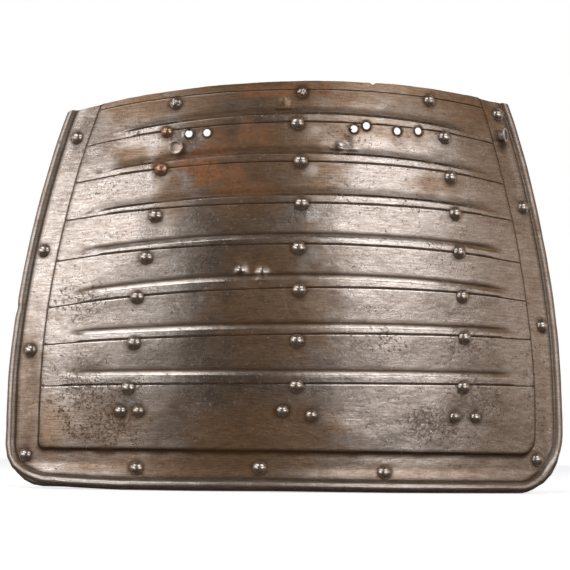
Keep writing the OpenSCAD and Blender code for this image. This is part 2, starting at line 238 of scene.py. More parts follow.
def worn(s, z):
    """Beating and dents together, faded out towards the rolled edge."""
    side = half_w(max(z, BASE)) + side_extra(1 if s > 0 else -1, z) + BORDER - ROLL - 1 - abs(s)
    low = BASE - table(BOTTOM_EXTRA, s) - BORDER + ROLL + 1
    keep = smooth(side / WEAR_FADE) * smooth((z - low) / WEAR_FADE)
    return min(0, (beaten(s, z) + dented(s, z)) * keep)


# Small bench tools
def deselect():
    if bpy.context.mode != "OBJECT":
        bpy.ops.object.mode_set(mode="OBJECT")
    bpy.ops.object.select_all(action="DESELECT")


def take(piece):
    """Makes one piece the only selected and active one."""
    deselect()
    piece.select_set(True)
    bpy.context.view_layer.objects.active = piece


def new_piece(name):
    """Names the primitive that was just added."""
    piece = bpy.context.active_object
    piece.name = piece.data.name = name
    return piece


def in_edit(piece, mode):
    """Opens a piece for editing, with nothing selected."""
    take(piece)
    bpy.ops.object.mode_set(mode="EDIT")
    bpy.ops.mesh.select_mode(type=mode)
    bpy.ops.mesh.select_all(action="DESELECT")
    return bmesh.from_edit_mesh(piece.data)


def pick(piece, parts, test):
    """Selects the faces or edges of an opened piece that pass a test."""
    for part in parts:
        if test(part):
            part.select = True
    bmesh.update_edit_mesh(piece.data)


def apply_modifier(piece, kind, **settings):
    take(piece)
    modifier = piece.modifiers.new(kind.title(), kind)
    for name, value in settings.items():
        setattr(modifier, name, value)
    bpy.ops.object.modifier_apply(modifier=modifier.name)


# The plate: a grid laid on the panel, its sides drawn out into border and roll
COLS = 120
ROW_GAP, ROW_LEAST = 2.5, 0.09
# Down an engraved line: height off it, share of its depth. It is steep above and eased below
LINE_ROWS = (
    (1.3, 0), (0.38, 0), (0.25, 0.2), (0.14, 0.9), (0.02, 1), (-0.1, 0.9), (-0.21, 0.45), (-0.35, 0.12),
    (-0.6, 0.02), (-1.2, 0),
)
# Down a step: share of its slope, share of its rise
STEP_ROWS = (
    (-0.14, 0), (-0.04, 0.02), (0.08, 0.1), (0.26, 0.27), (0.5, 0.5), (0.74, 0.73), (0.92, 0.9), (1.04, 0.98),
    (1.14, 1),
)
# The upper steps are steeper than the lower ones: share of the laid-out width, from the top
STEP_WIDTHS = (0.6, 0.55, 0.55, 0.8, 0.95, 1, 1)
CORNER_STEPS = 12
# Edges flatter than this, in degrees, are shaded smooth
PLATE_SMOOTH, SMALL_SMOOTH = 38, 50


def between(top, low):
    """Plain rows between two rows, no wider apart than the row gap."""
    count = math.ceil(max(a - b for a, b in zip(top, low)) / ROW_GAP)
    for i in range(1, count):
        yield tuple(a + (b - a) * i / count for a, b in zip(top, low))


def panel_rows():
    """Rows of the panel from the top: (three heights, lame, share of a line's depth, share of a step)."""
    rows = [(raised(TOP_EDGE, BASE), 0, 0, None)]
    for i in range(len(LINES)):
        rows += [(h, i, 0, None) for h in between(rows[-1][0], raised(line_z(i), LINE_ROWS[0][0]))]
        rows += [(raised(line_z(i), drop), i, depth, None) for drop, depth in LINE_ROWS]
        if i == len(LINES) - 1:
            break
        crest = raised(step_z(i), -STEP_SLOPE)
        wide = STEP_SLOPE * STEP_WIDTHS[i]
        start = raised(crest, wide * (1 - STEP_ROWS[0][0]))
        rows += [(h, i, 0, None) for h in between(rows[-1][0], start)]
        rows += [(raised(crest, wide * (1 - part)), i + 1, 0, rise) for part, rise in STEP_ROWS]
    flat = (CORNER_TOP,) * 3
    rows += [(h, len(LINES) - 1, 0, None) for h in between(rows[-1][0], flat)]
    for i in range(CORNER_STEPS + 1):
        z = BASE + max(CORNER.values()) * (1 - math.sin(math.pi / 2 * i / CORNER_STEPS))
        rows.append(((z,) * 3, len(LINES) - 1, 0, None))
    for i in range(len(rows) - 2, 0, -1):
        heights = tuple(max(a, b + ROW_LEAST) for a, b in zip(rows[i][0], rows[i + 1][0]))
        rows[i] = (heights, *rows[i][1:])
    return rows


def panel_place(row, u):
    heights, lame, depth, step = row
    z = row_z(heights, u)
    s = across(u, z)
    if step is None:
        face = relief(lame, s, z)
    else:
        sunk = relief(lame - 1, s, z)
        face = sunk + (relief(lame, s, z) - sunk) * step
    return s, z, face - LINE_DEEP * depth


def side_lean(z):
    return (half_w(z + 1) - half_w(z - 1)) / 2


def corner_turn(z, side):
    """How far round a corner a height is, in radians from the side."""
    return math.asin(share((CORNER[side] - (z - BASE)) / CORNER[side]))


# Height over which the border's direction turns from level to that of the top edge
FALL_LONG = 90


def rim_direction(row, side):
    """Which way the border leaves the panel at the end of a row, as (ds, dz) for each millimetre outwards."""
    z = row_z(row[0], side)
    if z < CORNER_TOP - 0.001 and z - BASE < CORNER[side]:
        a = corner_turn(z, side)
        return side * math.cos(a), -math.sin(a)
    lean = math.sqrt(1 + side_lean(z) ** 2)
    fall = side * row_rise(TOP_EDGE, side) / HALF_TOP * smooth((z - CORNER_TOP) / FALL_LONG)
    return side * lean, fall * lean


def rim_extra(row, side):
    """How much wider than laid out the border is at the end of a row."""
    z = row_z(row[0], side)
    if z - BASE < CORNER[side]:
        return table(CORNER_EXTRA[side], math.degrees(corner_turn(z, side)))
    return side_extra(side, z)


# Rings of the border and its roll: millimetres out from the panel's line, and height off the border's face
SLOPE_RINGS = ((0.35, 0.9), (0.8, 0.5), (1.25, 0.1), (SLOPE, 0), (2.6, 0))
FLAT_RINGS = tuple((o, 0) for o in (4.5, 6.5, 8.5, 10.5, 12.5, 14.5, 16.2))
FILLET_RINGS = ((17, 0.08), (17.45, 0.35))
# The roll: degrees that it runs through, its steps, and how much smaller it is than laid out
ROLL_FROM, ROLL_TO, ROLL_STEPS, ROLL_LESS = 150, -150, 16, 0.15
# Distances out at which the border ends, and at which the roll's rings start
BORDER_ENDS, ROLL_STARTS = 17, 17.2


def roll_ring(i):
    a = math.radians(ROLL_FROM + (ROLL_TO - ROLL_FROM) * i / ROLL_STEPS)
    return BORDER + (ROLL - ROLL_LESS) * math.cos(a), (ROLL - ROLL_LESS) * math.sin(a) - SHEET / 2


RINGS = (*SLOPE_RINGS, *FLAT_RINGS, *FILLET_RINGS, *(roll_ring(i) for i in range(ROLL_STEPS + 1)))
# The crumpled corner and the nick: s, z and radius
CRUMPLE = (-161, 11, 15)
NICK = (-178, 109, 3.2)
# The top edge's notch and the crack below it: place, half width, depth, and the crack's length and lift
NOTCH_S, NOTCH_W, NOTCH_DEEP, CRACK_LONG, CRACK_LIFT = 43.6, 1.1, 1.4, 9, 0.35


def near(s, z, spot):
    return math.exp(-((s - spot[0]) ** 2 + (z - spot[1]) ** 2) / spot[2] ** 2)


def roll_wear(s, z, out):
    """How the roll's ring is knocked about: uneven hammering, a crumpled corner and a nick."""
    on_roll = smooth((out - 15) / 3)
    uneven = 0.12 * wander(s, z, 11, 11, 1.3) + 0.05 * wander(s, z, 6, 6, 4.4)
    folds = near(s, z, CRUMPLE) * (0.9 * abs(wander(s, z, 4, 4, 6.2)) + 0.25)
    return -on_roll * (max(0, 0.17 + uneven) + folds + 0.7 * near(s, z, NICK))


def plate_point(s, z, n, out):
    """The point of a place on the plate once it is beaten and worn. Out is how far it is from the panel."""
    if out > ROLL_STARTS:
        away, low = out - BORDER, n + SHEET / 2
        r = math.hypot(away, low)
        keep = 1 + roll_wear(s, z, out) / max(r, 1)
        s -= away * (1 - keep) * (1 if s > 0 else -1)
        n = low * keep - SHEET / 2
    return at(s, z, n + worn(s, z))


def lay_panel():
    rows = panel_rows()
    deselect()
    bpy.ops.mesh.primitive_grid_add(x_subdivisions=COLS, y_subdivisions=len(rows) - 1, size=2)
    plate = new_piece("embossed_plate")
    bm = in_edit(plate, "EDGE")
    place = bm.verts.layers.float_vector.new("place")
    rim = bm.verts.layers.float_vector.new("rim")
    extra = bm.verts.layers.float.new("extra")
    for v in bm.verts:
        row = rows[round((1 - v.co.y) / 2 * (len(rows) - 1))]
        u = v.co.x
        v[place] = panel_place(row, u)
        if abs(u) > 0.999:
            v[rim] = (*rim_direction(row, round(u)), 0)
            v[extra] = rim_extra(row, round(u))
        elif row is rows[-1]:
            v[rim] = (0, -1, 0)
            v[extra] = table(BOTTOM_EXTRA, v[place].x)
    refine_dents(plate)
    bm = in_edit(plate, "EDGE")
    rim = bm.verts.layers.float_vector["rim"]
    pick(plate, bm.edges, lambda e: e.is_boundary and all(v[rim].length > 0 for v in e.verts))
    return plate


def refine_dents(plate):
    """Cuts the panel's faces finer where a small dent lies."""
    bm = in_edit(plate, "FACE")
    place = bm.verts.layers.float_vector["place"]
    small = [dent[:3] for dent in DENTS if dent[2] < SMALL_DENT]

    def on_small_dent(f):
        middle = sum((v[place] for v in f.verts), Vector()) / len(f.verts)
        return any(math.hypot(middle.x - s, middle.y - z) < 2 * r + 1 for s, z, r in small)

    pick(plate, bm.faces, on_small_dent)
    bpy.ops.mesh.subdivide(number_cuts=2, smoothness=0)


def flat_share(out):
    """Share of the extra width that a ring has: none at the panel, all from the roll's inner side on."""
    return share((out - SLOPE) / (BORDER - ROLL - SLOPE))


def draw_out_border(plate):
    """Extrudes the sides and the bottom ring by ring into slope, border, fillet and roll, then curves all."""
    done = 0
    for out, height in RINGS:
        bpy.ops.mesh.extrude_region_move(TRANSFORM_OT_translate={"value": (0, 0, 0)})
        bm = bmesh.from_edit_mesh(plate.data)
        place, rim = bm.verts.layers.float_vector["place"], bm.verts.layers.float_vector["rim"]
        extra = bm.verts.layers.float["extra"]
        for v in bm.verts:
            if v.select:
                way = v[rim]
                s, z, n = v[place]
                step = out - done + v[extra] * (flat_share(out) - flat_share(done))
                height_here = height * (RISE if out < SLOPE else 1)
                v[place] = (s + way.x * step, z + way.y * step, height_here)
                v[rim] = (way.x, way.y, out)
        done = out
    for v in bm.verts:
        s, z, n = v[place]
        v.co = plate_point(s, z, n, v[rim].z)
    bmesh.update_edit_mesh(plate.data)
    bpy.ops.mesh.select_all(action="SELECT")
    bpy.ops.mesh.normals_make_consistent(inside=False)
    bm = bmesh.from_edit_mesh(plate.data)
    middle = min(bm.faces, key=lambda f: (f.calc_center_median() - at(0, 120, 0)).length)
    if middle.normal.y > 0:
        bpy.ops.mesh.flip_normals()


# Seats of rivets, studs and holes
def face(lame, s, z):
    """A point on the face. The border lies on no lame, which is None."""
    return at(s, z, (0 if lame is None else relief(lame, s, z)) + worn(s, z))


def seat_on(lame, s, z):
    """A seat: its point on the face, and the way that the face looks there."""
    along = face(lame, s + 1, z) - face(lame, s - 1, z)
    up = face(lame, s, z + 1) - face(lame, s, z - 1)
    return face(lame, s, z), along.cross(up).normalized()


def beside_line(side, h, out):
    """The place that lies so far out from the panel's side at a height above its lower line."""
    z = BASE + h
    lean = side_lean(z)
    long = math.sqrt(1 + lean * lean)
    return side * (half_w(z) + out / long), z - out * lean / long


def border_places():
    """Places of the border's rivets, from the top left round to the top right."""
    corner_s = half_w(BASE)
    yield from (beside_line(-1, h, out) for h, out in LEFT_BORDER)
    yield -corner_s - CORNER_RIVETS[0][0], BASE - CORNER_RIVETS[0][1]
    yield from ((s, BASE - drop) for s, drop in BOTTOM_BORDER)
    yield corner_s + CORNER_RIVETS[1][0], BASE - CORNER_RIVETS[1][1]
    yield from (beside_line(1, h, out) for h, out in RIGHT_BORDER)


def rivet_places():
    """Name, kind, lame and place of each rivet."""
    for column, places in COLUMNS.items():
        for i, (s, drop) in enumerate(places):
            z = row_z(line_z(i), s / half_w(line_z(i)[1])) - drop
            yield f"{column}_rivet_{i + 1}", "column", i, s, z
    for i, (s, h) in enumerate(LOWER):
        yield f"lower_rivet_{i + 1}", "lower", len(LINES) - 1, s, BASE + h
    for i, (s, z) in enumerate(border_places()):
        yield f"border_rivet_{i + 1}", "border", None, s, z


def seat_matrix(seat):
    """Local Z along the seat's normal, local Y to the right round the plate, local X down the plate."""
    point, normal = seat
    right = Vector((-normal.y, normal.x, 0)).normalized()
    return Matrix.LocRotScale(point, Matrix((right.cross(normal), right, normal)).transposed(), None)


def hole_axes():
    """Axis of each strap hole: a point on the face, and the direction that it is drilled in."""
    for s, h, spacing, tilt in HOLE_PAIRS:
        seat = seat_matrix(seat_on(1, s, BASE + h)) @ Matrix.Rotation(math.radians(tilt), 4, "Z")
        for side in (-1, 1):
            yield seat @ Vector((0, side * spacing / 2 * MM, 0)), seat.to_3x3() @ Vector((0, 0, 1))


# Strap holes: punched, with a worn burr round each

# Radius of the finer faces round a hole's axis, width of the burr's foot, and the distance in metres beyond
# which nothing belongs to a hole. The burr's rings are (distance out from the hole's edge, lift)
HOLE_FINE, BURR_FOOT, HOLE_REACH = 6.5, 1.0, 0.02
BURR_RINGS = ((0.55, 0.22), (0.2, 0.36), (0, 0.22), (-0.16, -0.15))


def from_axis(co, axis):
    """Distance from a hole's axis, and the way out from it."""
    point, normal = axis
    away = co - point
    flat = away - normal * away.dot(normal)
    return flat.length / MM, flat.normalized()


def close_to(co, axis, limit):
    return (co - axis[0]).length < HOLE_REACH and from_axis(co, axis)[0] < limit


def punch_holes(plate):
    axes = list(hole_axes())
    bm = in_edit(plate, "FACE")
    pick(plate, bm.faces, lambda f: any(close_to(f.calc_center_median(), axis, HOLE_FINE) for axis in axes))
    bpy.ops.mesh.subdivide(number_cuts=1, smoothness=0)
    for number, axis in enumerate(axes):
        punch(plate, axis, number)


def punch(plate, axis, number):
    """Cuts the faces out round one axis, rounds the edge that is left, and draws it in as a burr."""
    normal = axis[1]
    foot = STRAP_HOLE + BURR_FOOT
    bm = in_edit(plate, "FACE")
    pick(plate, bm.faces, lambda f: close_to(f.calc_center_median(), axis, foot))
    bpy.ops.mesh.delete(type="FACE")
    bpy.ops.mesh.select_mode(type="EDGE")
    bm = bmesh.from_edit_mesh(plate.data)
    pick(plate, bm.edges, lambda e: e.is_boundary and all(close_to(v.co, axis, foot + 2) for v in e.verts))
    for v in bm.verts:
        if v.select:
            far, way = from_axis(v.co, axis)
            v.co += way * (foot - far) * MM
    bmesh.update_edit_mesh(plate.data)
    done, lifted = BURR_FOOT, 0
    for out, lift in BURR_RINGS:
        bpy.ops.mesh.extrude_region_move(TRANSFORM_OT_translate={"value": (0, 0, 0)})
        bm = bmesh.from_edit_mesh(plate.data)
        for v in bm.verts:
            if v.select:
                far, way = from_axis(v.co, axis)
                rough = 1 + 0.7 * noise.noise(v.co * FINE_NOISE + Vector((number, 0, 0)))
                v.co += (way * (out - done) + normal * (lift - lifted) * rough) * MM
        bmesh.update_edit_mesh(plate.data)
        done, lifted = out, lift


# Masks painted on the plate, as (s, z, half width, half height, strength)
RUST = (
    (-60, 192, 17, 15, 1.0), (-48, 202, 16, 10, 0.75), (-40, 188, 14, 6, 0.85), (-77, 212, 7, 6, 0.6),
    (-84, 192, 8, 7, 0.8), (-30, 213, 16, 10, 0.75), (-34, 178, 26, 5, 0.75), (-58, 232, 30, 5, 0.4),
    (-12, 238, 34, 5, 0.8), (-113, 212, 13, 20, 0.35), (28, 236, 12, 4, 0.4), (-30, 143, 14, 7, 0.35),
)
BLUED = (
    (-168, 50, 12, 50, 0.9), (-57, 201, 8, 5, 0.8), (-36, 195, 12, 6, 0.7), (-51, 180, 10, 6, 0.6),
    (-14, 190, 20, 14, 0.5),
)
# Patina, with a few spots of painted shade: those right of the upper left rivets, round s -76 to -102, stand
# for the rivets' shadows
PATINA_AND_SHADE = (
    (-30, 192, 46, 46, 0.9), (-14, 112, 48, 60, 0.8), (-20, 32, 60, 30, 0.9), (-60, 32, 60, 26, 0.5),
    (128, 132, 14, 110, 0.2), (-168, 50, 12, 60, 0.9), (0, 246, 150, 24, 0.95), (-100, 232, 36, 15, 0.9),
    (100, 234, 60, 14, 0.6), (-60, 15, 110, 9, 0.85), (60, 12, 110, 8, 0.6), (166, 120, 12, 100, 0.4),
    (-118, 240, 14, 12, 0.7), (0, 192, 30, 30, 0.9), (-78, 196, 13, 14, 0.7), (34, 217, 60, 13, 0.72),
    (-76, 174, 12, 20, 0.8), (-54, 222, 22, 14, 0.9), (-102, 199, 15, 9, 0.85), (-150, 34, 14, 24, 0.8),
    (-112, 39, 46, 21, 0.6), (88, 186, 22, 9, 0.75), (84, 236, 26, 9, 0.7),
)
PITS = (
    (-118, 179, 12, 10, 0.6), (-132, 114, 22, 12, 0.55), (-121, 52, 32, 16, 1.0), (-138, 66, 16, 12, 0.7),
    (-114, 38, 30, 14, 1.0), (84, 39, 26, 12, 1.0), (-104, 214, 12, 8, 0.5), (36, 176, 34, 14, 0.2),
    (68, 172, 20, 8, 0.2), (110, 90, 22, 14, 0.7), (115, 56, 24, 16, 0.8), (52, 88, 24, 8, 0.5),
    (30, 205, 30, 10, 0.25), (-60, 40, 30, 18, 0.5), (-4, 38, 40, 14, 0.4), (160, 60, 10, 60, 0.5),
    (-45, 165, 14, 10, 0.4),
)
# Dark spots: the first is a painted shadow under the right stud's bent head, and the other two are fainter dark
# spots
SHADE_AND_GRIME_SPOTS = ((140.5, 218, 5, 6, 1.0), (-72, 205, 8, 3, 0.35), (88, 205, 8, 3, 0.3))
# Burnished spots, partly painted highlight: on the raised dents and beside the centre rivets they stand in for
# bright glints
BURNISH_AND_HIGHLIGHT = (
    (7, 190, 5, 5, 0.8), (7, 165, 5, 5, 0.7), (7, 139, 6, 5, 0.7), (2, 130, 4, 6, 0.5), (8, 214, 4, 3, 0.5),
    (-34.4, 129.4, 3.4, 2.6, 1.0), (-22, 128.4, 3.8, 2.8, 1.0), (27, 205, 6, 3, 0.6), (43, 210, 12, 4, 0.4),
    (-100, 51, 12, 3, 0.6), (90, 178, 5, 5, 0.5),
)
# Patina of the roll on its left and right sides
ROLL_PATINA = (0.5, 0.75)


def painted(s, z, spots, ragged=0.35):
    """Strength of a set of painted spots at a place, with a ragged outline."""
    edge = ragged * wander(s, z, 9, 7, 2.2)
    total = 0
    for cs, cz, ws, wz, strength in spots:
        d = math.hypot((s - cs) / ws, (z - cz) / wz)
        total = max(total, strength * smooth(1.35 - d + edge))
    return share(total)


def line_and_step_shade(s, z):
    """Painted shade, with some dirt, in the engraved lines and under the steps, where grooves and creases fall
    dark.
    """
    if z < BASE or abs(s) > half_w(z):
        return 0
    u = s / half_w(z)
    dirt = 0
    for i in range(len(LINES)):
        dirt = max(dirt, 1.05 - abs(z - row_z(line_z(i), u) - 0.05) / 0.24)
        if i < len(LINES) - 1:
            above = z - row_z(step_z(i), u) + 0.3
            dirt = max(dirt, step_fade(s, z) * (1.35 - abs(above) / 1.2))
    return share(dirt)


def crest_wear_and_highlight(s, z):
    """Bright wear and painted highlight along the tops of the steps, and on the lower lips of the engraved
    lines, where light catches them.
    """
    if z < BASE or abs(s) > half_w(z):
        return 0
    u = s / half_w(z)
    wear = 0
    for i in range(len(LINES) - 1):
        below = row_z(step_z(i), u) - STEP_SLOPE * 0.85 - z
        wear = max(wear, step_fade(s, z) * (1 - abs(below) / 1.5))
    for i in range(len(LINES)):
        line = row_z(line_z(i), u)
        wear = max(wear, 0.9 - abs(z - line + 0.5) / 0.45)
        if i > 0:
            lap = share((z - line - 0.4) / 0.8) * share((row_z(step_z(i - 1), u) - z) / 2.5)
            wear = max(wear, (0.12 if i < 4 else 0.35) * step_fade(s, z) * lap)
    return share(wear)


def rim_shade_and_dirt(s, z, out):
    """Painted shade and dirt between the border and its roll, and beside the panel where its edge slopes away:
    thick and uneven along the bottom, where the slope faces down.
    """
    if out <= 0:
        return 0.9 * share(1 - (z - BASE) / 1.6) if z > BASE - 0.01 else 0
    low = 1 - smooth((z - BASE + 4) / 8)
    middle = 1.3 + low * 1.1 * wander(s, 0.5, 11, 1, 5.1)
    beside_panel = (0.95 + 0.55 * low) * (1 - abs(out - middle) / (1.25 + 1.85 * low))
    return share(max(1 - abs(out - BORDER_ENDS) / 1.4, beside_panel))


def rivet_foot_shadow(s, z, places):
    """Painted shadow, with dirt, in a ring round the foot of each rivet."""
    near_one = min(math.hypot(s - a, z - b) for a, b in places)
    return share(1 - (near_one - 4) / 2)


def hole_burr_darkening(s, z):
    """Darkening in a ring on the burrs of the strap holes."""
    near_one = 9
    for middle, h, spacing, tilt in HOLE_PAIRS:
        for side in (-0.5, 0.5):
            a = math.radians(tilt)
            ds, dz = side * spacing * math.cos(a), side * spacing * math.sin(a)
            near_one = min(near_one, math.hypot(s - middle - ds, z - BASE - h - dz))
    return share(1.25 - abs(near_one - STRAP_HOLE - 0.4) / 1.4)


def plate_masks(s, z, out, rivets):
    """Strength of every mask at a place. Out is how far it is from the panel."""
    roll_patina = ROLL_PATINA[s > 0] * smooth((out - BORDER_ENDS) / 2) if z > BASE else 0
    # The dark mask is painted shade in grooves, creases, along edges, at rivet feet and under the right stud,
    # together with dirt
    spots_of_shade_and_dirt = (
        line_and_step_shade(s, z), rim_shade_and_dirt(s, z, out), 0.8 * rivet_foot_shadow(s, z, rivets), 0.8 * hole_burr_darkening(s, z),
        painted(s, z, SHADE_AND_GRIME_SPOTS),
    )
    roll_wear_and_highlight = 0.8 * smooth(1 - abs(out - BORDER + 1) / 3) if out > 0 else 0
    return {
        "rust": painted(s, z, RUST, 0.6),
        "blued": painted(s, z, BLUED),
        "patina": max(painted(s, z, PATINA_AND_SHADE, 0.25), roll_patina),
        "pits": painted(s, z, PITS, 0.8),
        "burnished": painted(s, z, BURNISH_AND_HIGHLIGHT),
        "dirt": max(spots_of_shade_and_dirt),
        # The crest mask is wear with painted highlight: step crests, line lips, laps and a band along the roll
        "crest": max(crest_wear_and_highlight(s, z), roll_wear_and_highlight),
        "roll": smooth((out - BORDER_ENDS) / 1.5),
    }


def paint_plate(plate):
    """Gives the plate its lengthwise map, in tenths of a metre, and the masks that its finish reads."""
    take(plate)
    bm = bmesh.new()
    bm.from_mesh(plate.data)
    place, rim = bm.verts.layers.float_vector["place"], bm.verts.layers.float_vector["rim"]
    rivets = [(s, z) for name, kind, lame, s, z in rivet_places()]
    layers = {name: bm.verts.layers.float.new(name) for name in plate_masks(0, BASE, 0, rivets)}
    lay = bm.loops.layers.uv.verify()
    for v in bm.verts:
        s, z = v[place].xy
        for name, strength in plate_masks(s, z, v[rim].z, rivets).items():
            v[layers[name]] = strength
        for loop in v.link_loops:
            loop[lay].uv = (s / 100, z / 100)
    bm.to_mesh(plate.data)
    bm.free()


def under_line(u, z):
    """How much of an engraved line's depth is cut at a place: the sheet is thinner there."""
    if abs(u) > 1 or z <= BASE:
        return 0
    return max(share(1 - abs(z - row_z(line_z(i), u)) / LINE_HALF) for i in range(len(LINES)))


def fray_edge(v, s, below):
    """Notches, frays and cracks the sheet at its top edge. Below is how far under the edge the place is."""
    notch = share(1 - abs(s - NOTCH_S) / NOTCH_W) * share(1 - below / 2.5)
    ragged = 0.35 * (1 + wander(s, 0.5, 13, 1, 7.7)) + 0.12 * (1 + wander(s, 0.5, 2.5, 1, 2.7))
    crack = share(1 - abs(s - NOTCH_S)) * share((CRACK_LONG - below) / 3)
    v.co.z -= (NOTCH_DEEP * notch + ragged * share(1 - below / 6)) * MM
    v.co.y += CRACK_LIFT * crack * MM


def finish_plate(plate):
    """Frays the top edge, thickens the sheet and shades it smooth."""
    thickness = plate.vertex_groups.new(name="full_thickness")
    bm = bmesh.new()
    bm.from_mesh(plate.data)
    place = bm.verts.layers.float_vector["place"]
    weights = []
    for v in bm.verts:
        s, z = v[place].xy
        u = s / half_w(max(z, BASE))
        weights.append(1 - under_line(u, z) * LINE_DEEP / SHEET)
        fray_edge(v, s, row_z(raised(TOP_EDGE, BASE), u) - z)
    bm.to_mesh(plate.data)
    bm.free()
    for index, weight in enumerate(weights):
        thickness.add([index], weight, "REPLACE")
    apply_modifier(
        plate, "SOLIDIFY", thickness=SHEET * MM, offset=-1, use_rim=True, vertex_group=thickness.name
    )
    take(plate)
    bpy.ops.object.shade_smooth_by_angle(angle=math.radians(PLATE_SMOOTH))


# Turned and hammered small pieces: a cylinder drawn out at both ends, ring by ring
ROUND = 32


def dome_rings(r, h, steps=7):
    """Rings of a dome from its rim to just under its top, as (radius, height)."""
    ball = (r * r + h * h) / (2 * h)
    for i in range(1, steps):
        height = h * math.sin(math.pi / 2 * i / steps)
        yield math.sqrt(ball * ball - (height + ball - h) ** 2), height


def draw_end(piece, start, rings):
    """Extrudes the shank's end at a height through rings of (radius, height), then draws it to a point."""
    way = 1 if rings[-1][1] > start else -1
    bm = in_edit(piece, "FACE")
    end = max(bm.faces, key=lambda f: way * f.calc_center_median().z)
    end.select = True
    bmesh.update_edit_mesh(piece.data)
    r, z = SHANK, start
    for radius, height in rings:
        bpy.ops.mesh.extrude_region_move(TRANSFORM_OT_translate={"value": (0, 0, (height - z) * MM)})
        size = radius / r
        bpy.ops.transform.resize(value=(size, size, 1), center_override=(0, 0, height * MM))
        r, z = radius, height
    bpy.ops.mesh.poke()
    bpy.ops.object.mode_set(mode="OBJECT")


# Radius of the shank, the tail's radius and height, and the heights of the tail's and the head's foot
SHANK, TAIL_R, TAIL_UP = 1.8, 2.9, 0.9
BACK, HEAD_FOOT = -SHEET - 0.1, 0.02


def tail_rings():
    """The tail's foot and dome behind the sheet, from its foot down."""
    foot = [(TAIL_R * 0.97, BACK), (TAIL_R, BACK - 0.12)]
    return foot + [(r, BACK - 0.12 - h * 0.87) for r, h in dome_rings(TAIL_R, TAIL_UP, 4)]


def round_piece(name, head):
    """A shank with its head and its tail drawn out from its ends."""
    deselect()
    bpy.ops.mesh.primitive_cylinder_add(
        vertices=ROUND, radius=SHANK * MM, depth=(HEAD_FOOT - BACK) * MM,
        location=(0, 0, (HEAD_FOOT + BACK) / 2 * MM),
    )
    piece = new_piece(name)
    bpy.ops.object.transform_apply(location=True, rotation=True, scale=True)
    draw_end(piece, HEAD_FOOT, head)
    draw_end(piece, BACK, tail_rings())
    take(piece)
    bpy.ops.object.shade_smooth_by_angle(angle=math.radians(SMALL_SMOOTH))
    return piece


def head_rings(r, h):
    """The head's foot and dome, from its foot up."""
    foot = [(r * 0.96, HEAD_FOOT), (r, 0.3)]
    return foot + [(a, 0.3 + b * (h - 0.35) / h) for a, b in dome_rings(r, h)]


def hammer(piece, seed, depth):
    """Flattens a head with a few blows, so that no two are quite alike. Blows only take metal away."""
    for v in piece.data.vertices:
        if v.co.z <= 0:
            continue
        blow = noise.noise(v.co * 420 + Vector((seed * 3.1, 0, seed)))
        blow += 0.5 * noise.noise(v.co * FINE_NOISE + Vector((0, seed, 0)))
        v.co -= v.co.normalized() * depth * MM * share(0.5 + 0.6 * blow)


def paint_foot_shade(piece, high, dish):
    """Mask of painted shade and dirt at a head's foot, up to a height, and of painted shade in a stud's dish:
    none on the crown.
    """
    dirt = piece.data.attributes.new("foot", "FLOAT", "POINT")
    for v, item in zip(piece.data.vertices, dirt.data):
        foot = share(1 - v.co.z / MM / high) if v.co.z > -0.2 * MM else 1
        in_dish = v.co.z > 3.2 * MM and v.co.xy.length < (STUD_HEAD - STUD_RIM) * MM
        item.value = dish if in_dish else foot


def place_copy(model, name, seat, node, seed, depth, size):
    """A copy of a model with its own mesh, hammered and set on its seat in place of the plain solid."""
    piece = model.copy()
    piece.data = model.data.copy()
    piece.name = piece.data.name = name
    bpy.context.scene.collection.objects.link(piece)
    hammer(piece, seed, depth)
    spin = Matrix.Rotation(seed * GOLDEN_TURN, 4, "Z")
    piece.data.transform(seat_matrix(seat) @ spin @ Matrix.Diagonal((size, size, size, 1)))
    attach(piece, "root")
    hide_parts(node)
    return piece


def cover(piece, finish):
    """Covers a small piece in the finish of this name."""
    piece.data.materials.clear()
    piece.data.materials.append(bpy.data.materials[finish])


# Head's radius and height of the three kinds of rivet, and how large the copies are made of each
RIVET_KINDS = (("column", 4.4, 3.3), ("lower", 3.7, 3.0), ("border", 4.3, 3.2))
KIND_SIZES = {"column": 0.985, "lower": 1.0, "border": 1.0}
# Rivets that differ: rusted ones, depth of the blows on worn ones, and smaller ones
RUSTED_RIVETS = ("left_rivet_2", "left_rivet_3")
BLOW_DEPTH = 0.12
WORN_RIVETS = {"left_rivet_1": 0.9, "centre_rivet_1": 1.0, "centre_rivet_2": 0.4, "left_rivet_3": 0.4}
RIVET_SIZES = {"left_rivet_2": 0.84, "centre_rivet_1": 0.8, "right_rivet_1": 0.88}
# Each rivet is turned by this angle, in radians, from the one before, so that no two show the same side
GOLDEN_TURN = 2.399


def make_rivets():
    """The forty-one rivets: three models, each copied to its seats."""
    models = {}
    for kind, r, h in RIVET_KINDS:
        models[kind] = round_piece(f"{kind}_rivet_model", head_rings(r, h))
        paint_foot_shade(models[kind], 1.3, 0)
    for seed, (name, kind, lame, s, z) in enumerate(rivet_places(), 1):
        depth = WORN_RIVETS.get(name, BLOW_DEPTH)
        size = RIVET_SIZES.get(name, KIND_SIZES[kind])
        piece = place_copy(models[kind], f"hammered_{name}", seat_on(lame, s, z), name, seed, depth, size)
        rusted = name in RUSTED_RIVETS
        cover(piece, "rust_stained_steel" if rusted else "filed_rivet_steel")
    for model in models.values():
        bpy.data.objects.remove(model)


# Studs: the head's radius and thickness, the neck's radius and height, the dish's depth and its rim's width
STUD_HEAD, STUD_THICK, STUD_NECK, STUD_NECK_UP, STUD_DISH, STUD_RIM = 4.4, 1.3, 2.0, 2.6, 0.4, 1.1
# Height of the stud's collar, above which a blow bends it
COLLAR_UP = 1.02


